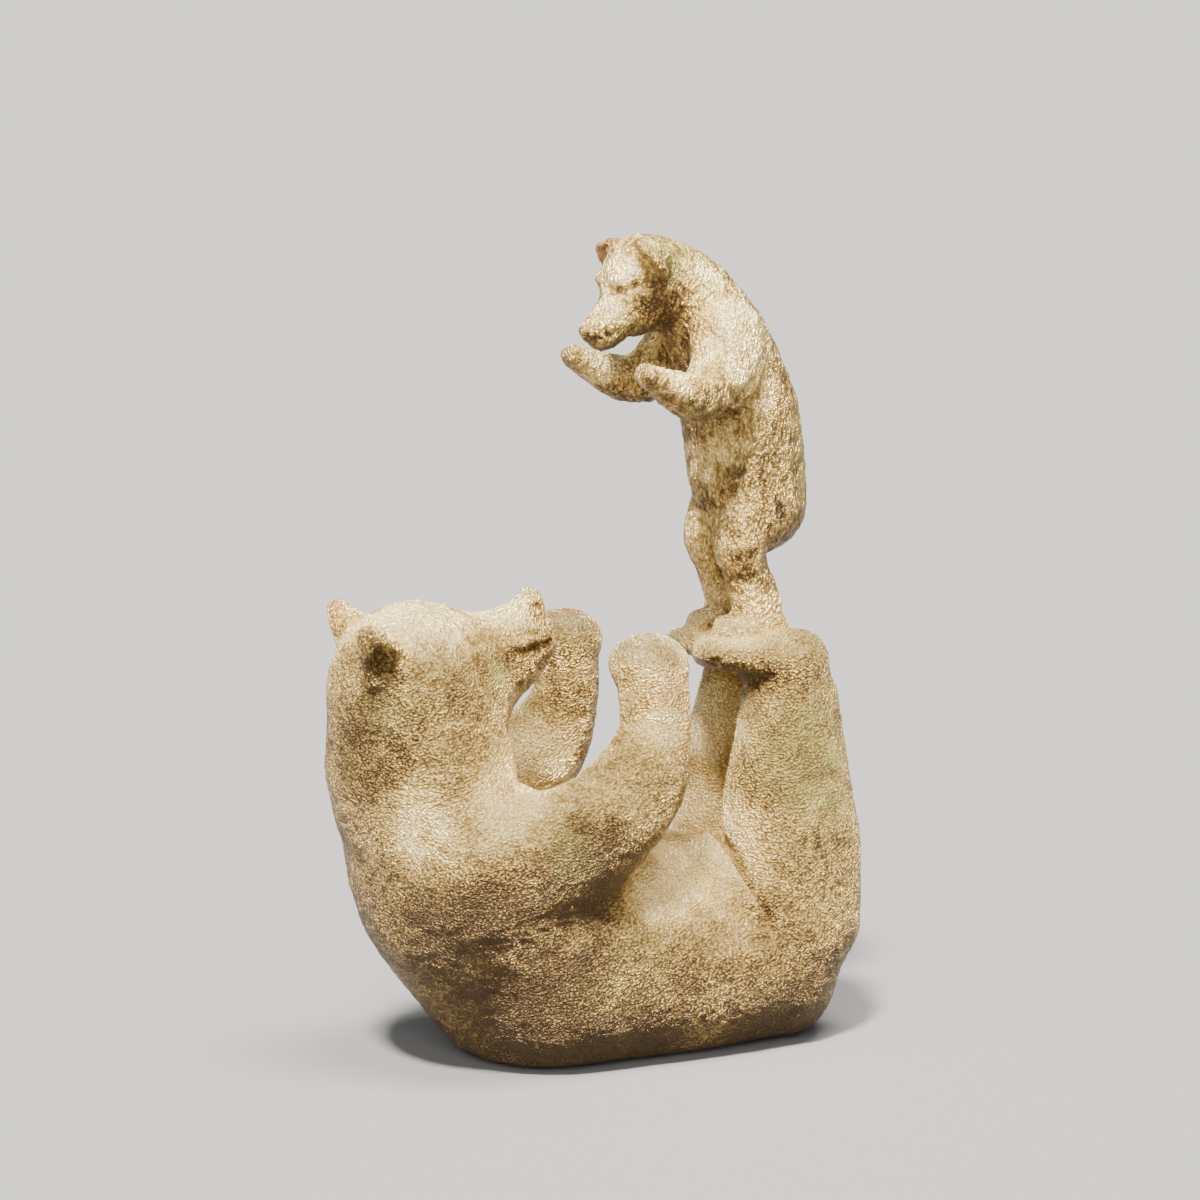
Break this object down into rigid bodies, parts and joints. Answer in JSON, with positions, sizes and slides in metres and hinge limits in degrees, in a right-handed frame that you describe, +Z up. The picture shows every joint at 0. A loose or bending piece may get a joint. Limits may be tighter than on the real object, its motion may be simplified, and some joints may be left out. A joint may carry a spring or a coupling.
{
  "type": "bronze bear sculpture",
  "caption": "Cast bronze group of a mother bear on her back, balancing her standing cub on the soles of her hind feet.",
  "frame": {"origin": "on the flat underside, on the mother's centre plane, below her belly", "axes": "+Z up, towards the cub's head; +X from the mother's head towards her hind legs, so the cub looks towards -X; Y across the mother's body"},
  "size_m": [0.1775, 0.0999, 0.2507],
  "materials": {
    "bronze": "satin"
  },
  "bodies": {
    "root": {"bear_and_cub": "bronze"}
  },
  "joints": []
}
